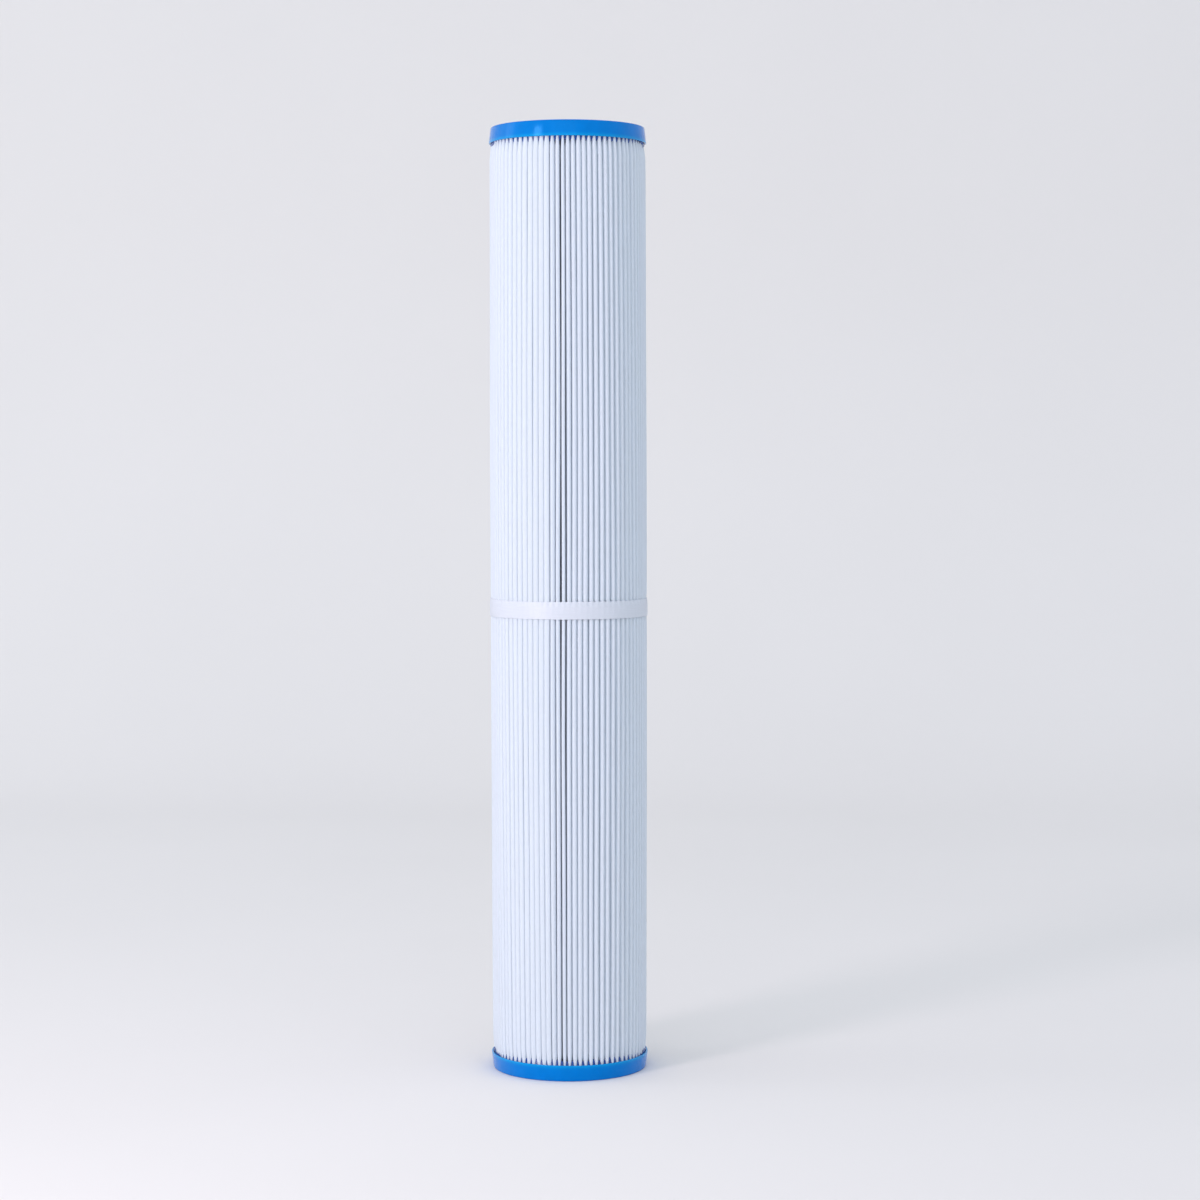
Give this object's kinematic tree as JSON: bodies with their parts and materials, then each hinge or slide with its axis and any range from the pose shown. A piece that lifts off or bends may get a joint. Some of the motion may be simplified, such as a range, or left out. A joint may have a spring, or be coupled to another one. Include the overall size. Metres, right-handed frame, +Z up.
{
  "type": "filter cartridge",
  "caption": "Tall round pleated filter cartridge with blue flanged end caps, an open bore through a perforated core, and a white strap round its middle.",
  "frame": {"origin": "centre of the lower end cap's face, on the bore's axis, where the cartridge stands", "axes": "+Z up along the bore; +X to the right seen from the front; +Y to the back, where the strap's lap and the media's seam are"},
  "size_m": [0.126, 0.126, 0.7493],
  "materials": {
    "end_cap": "satin",
    "potting": "satin",
    "core": "satin",
    "media": "matte",
    "glue": "satin",
    "strap": "satin"
  },
  "bodies": {
    "root": {"bottom_end_cap": "end_cap", "bottom_potting": "potting", "core_lower_section": "core", "core_middle_section": "core", "core_upper_section": "core", "pleated_media": "media", "media_seam_bead": "glue", "retaining_band": "strap", "top_potting": "potting", "top_end_cap": "end_cap"}
  },
  "joints": []
}
